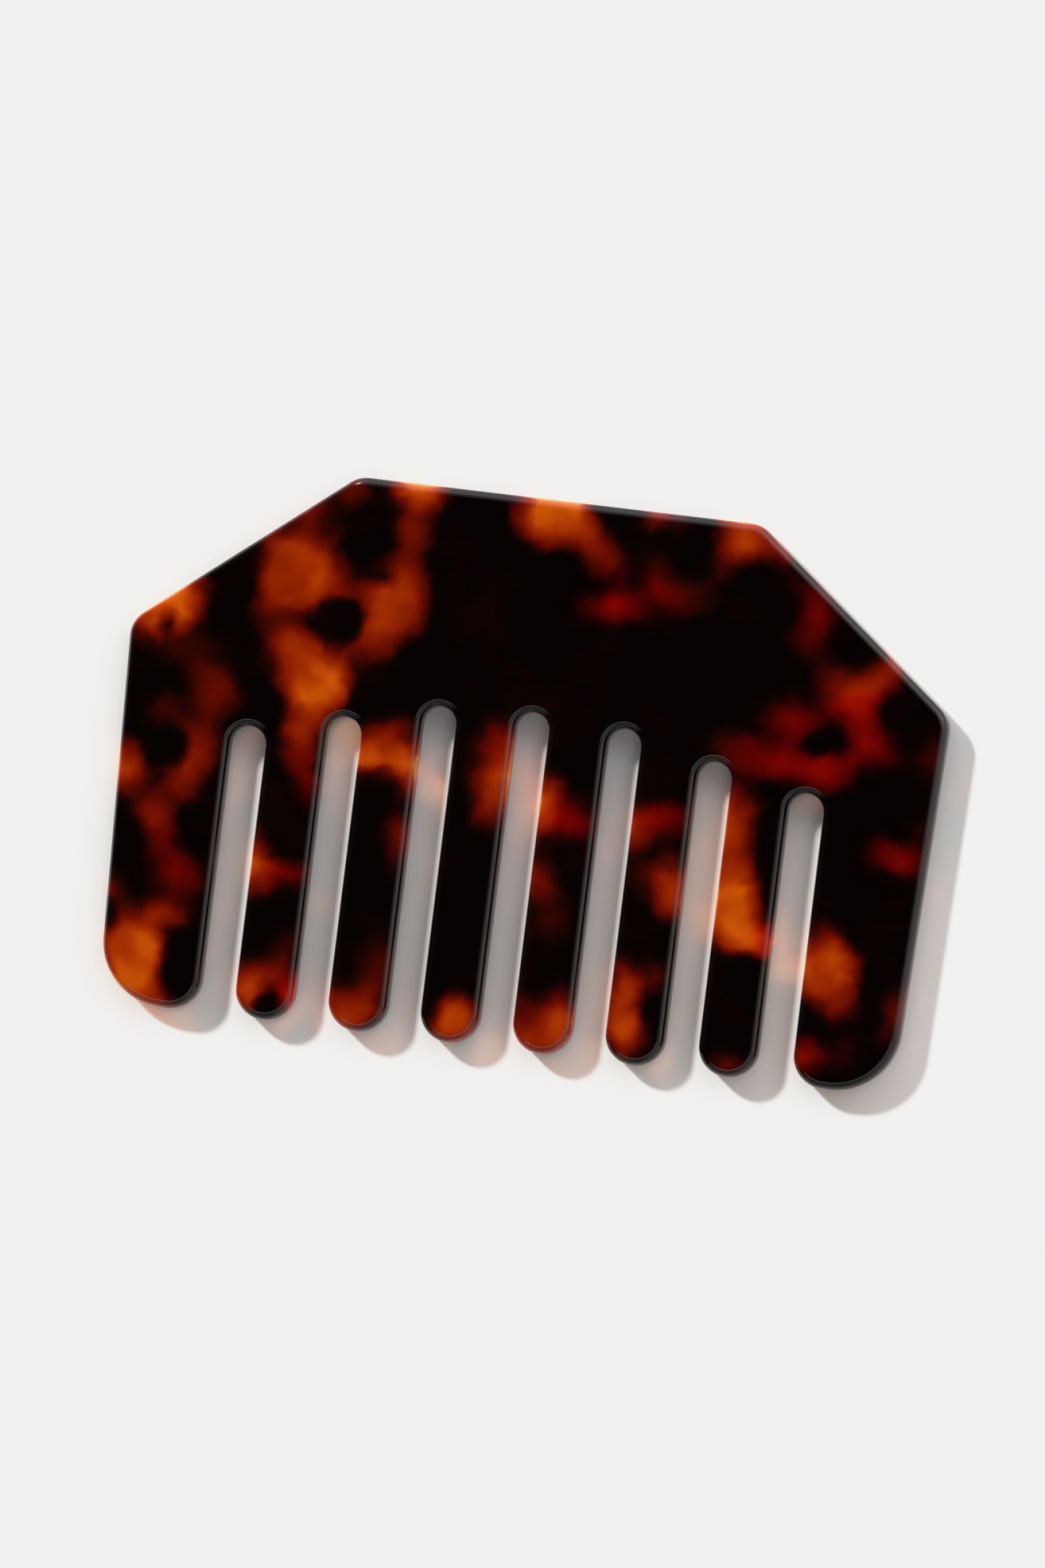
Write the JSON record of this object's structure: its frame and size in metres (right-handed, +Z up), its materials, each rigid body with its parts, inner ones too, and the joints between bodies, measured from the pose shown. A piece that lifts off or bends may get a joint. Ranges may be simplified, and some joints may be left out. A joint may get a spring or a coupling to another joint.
{
  "type": "hair comb",
  "caption": "Wide-tooth hair comb cut from one flat sheet of polished tortoiseshell acetate, with a half-octagon back, straight round-tipped teeth and broader end teeth",
  "frame": {"origin": "centre of the overall width and height, on the underside that the comb lies on", "axes": "+X across the comb from the left end tooth to the right, +Y from the tips of the teeth to the top edge, +Z up through the sheet"},
  "size_m": [0.1144, 0.0754, 0.004],
  "materials": {
    "acetate": "polished tortoiseshell acetate, near-black with red, orange and amber patches"
  },
  "bodies": {
    "root": {"back": "acetate", "end_tooth_left": "acetate", "tooth_2": "acetate", "tooth_3": "acetate", "tooth_4": "acetate", "tooth_5": "acetate", "tooth_6": "acetate", "tooth_7": "acetate", "end_tooth_right": "acetate"}
  },
  "joints": []
}
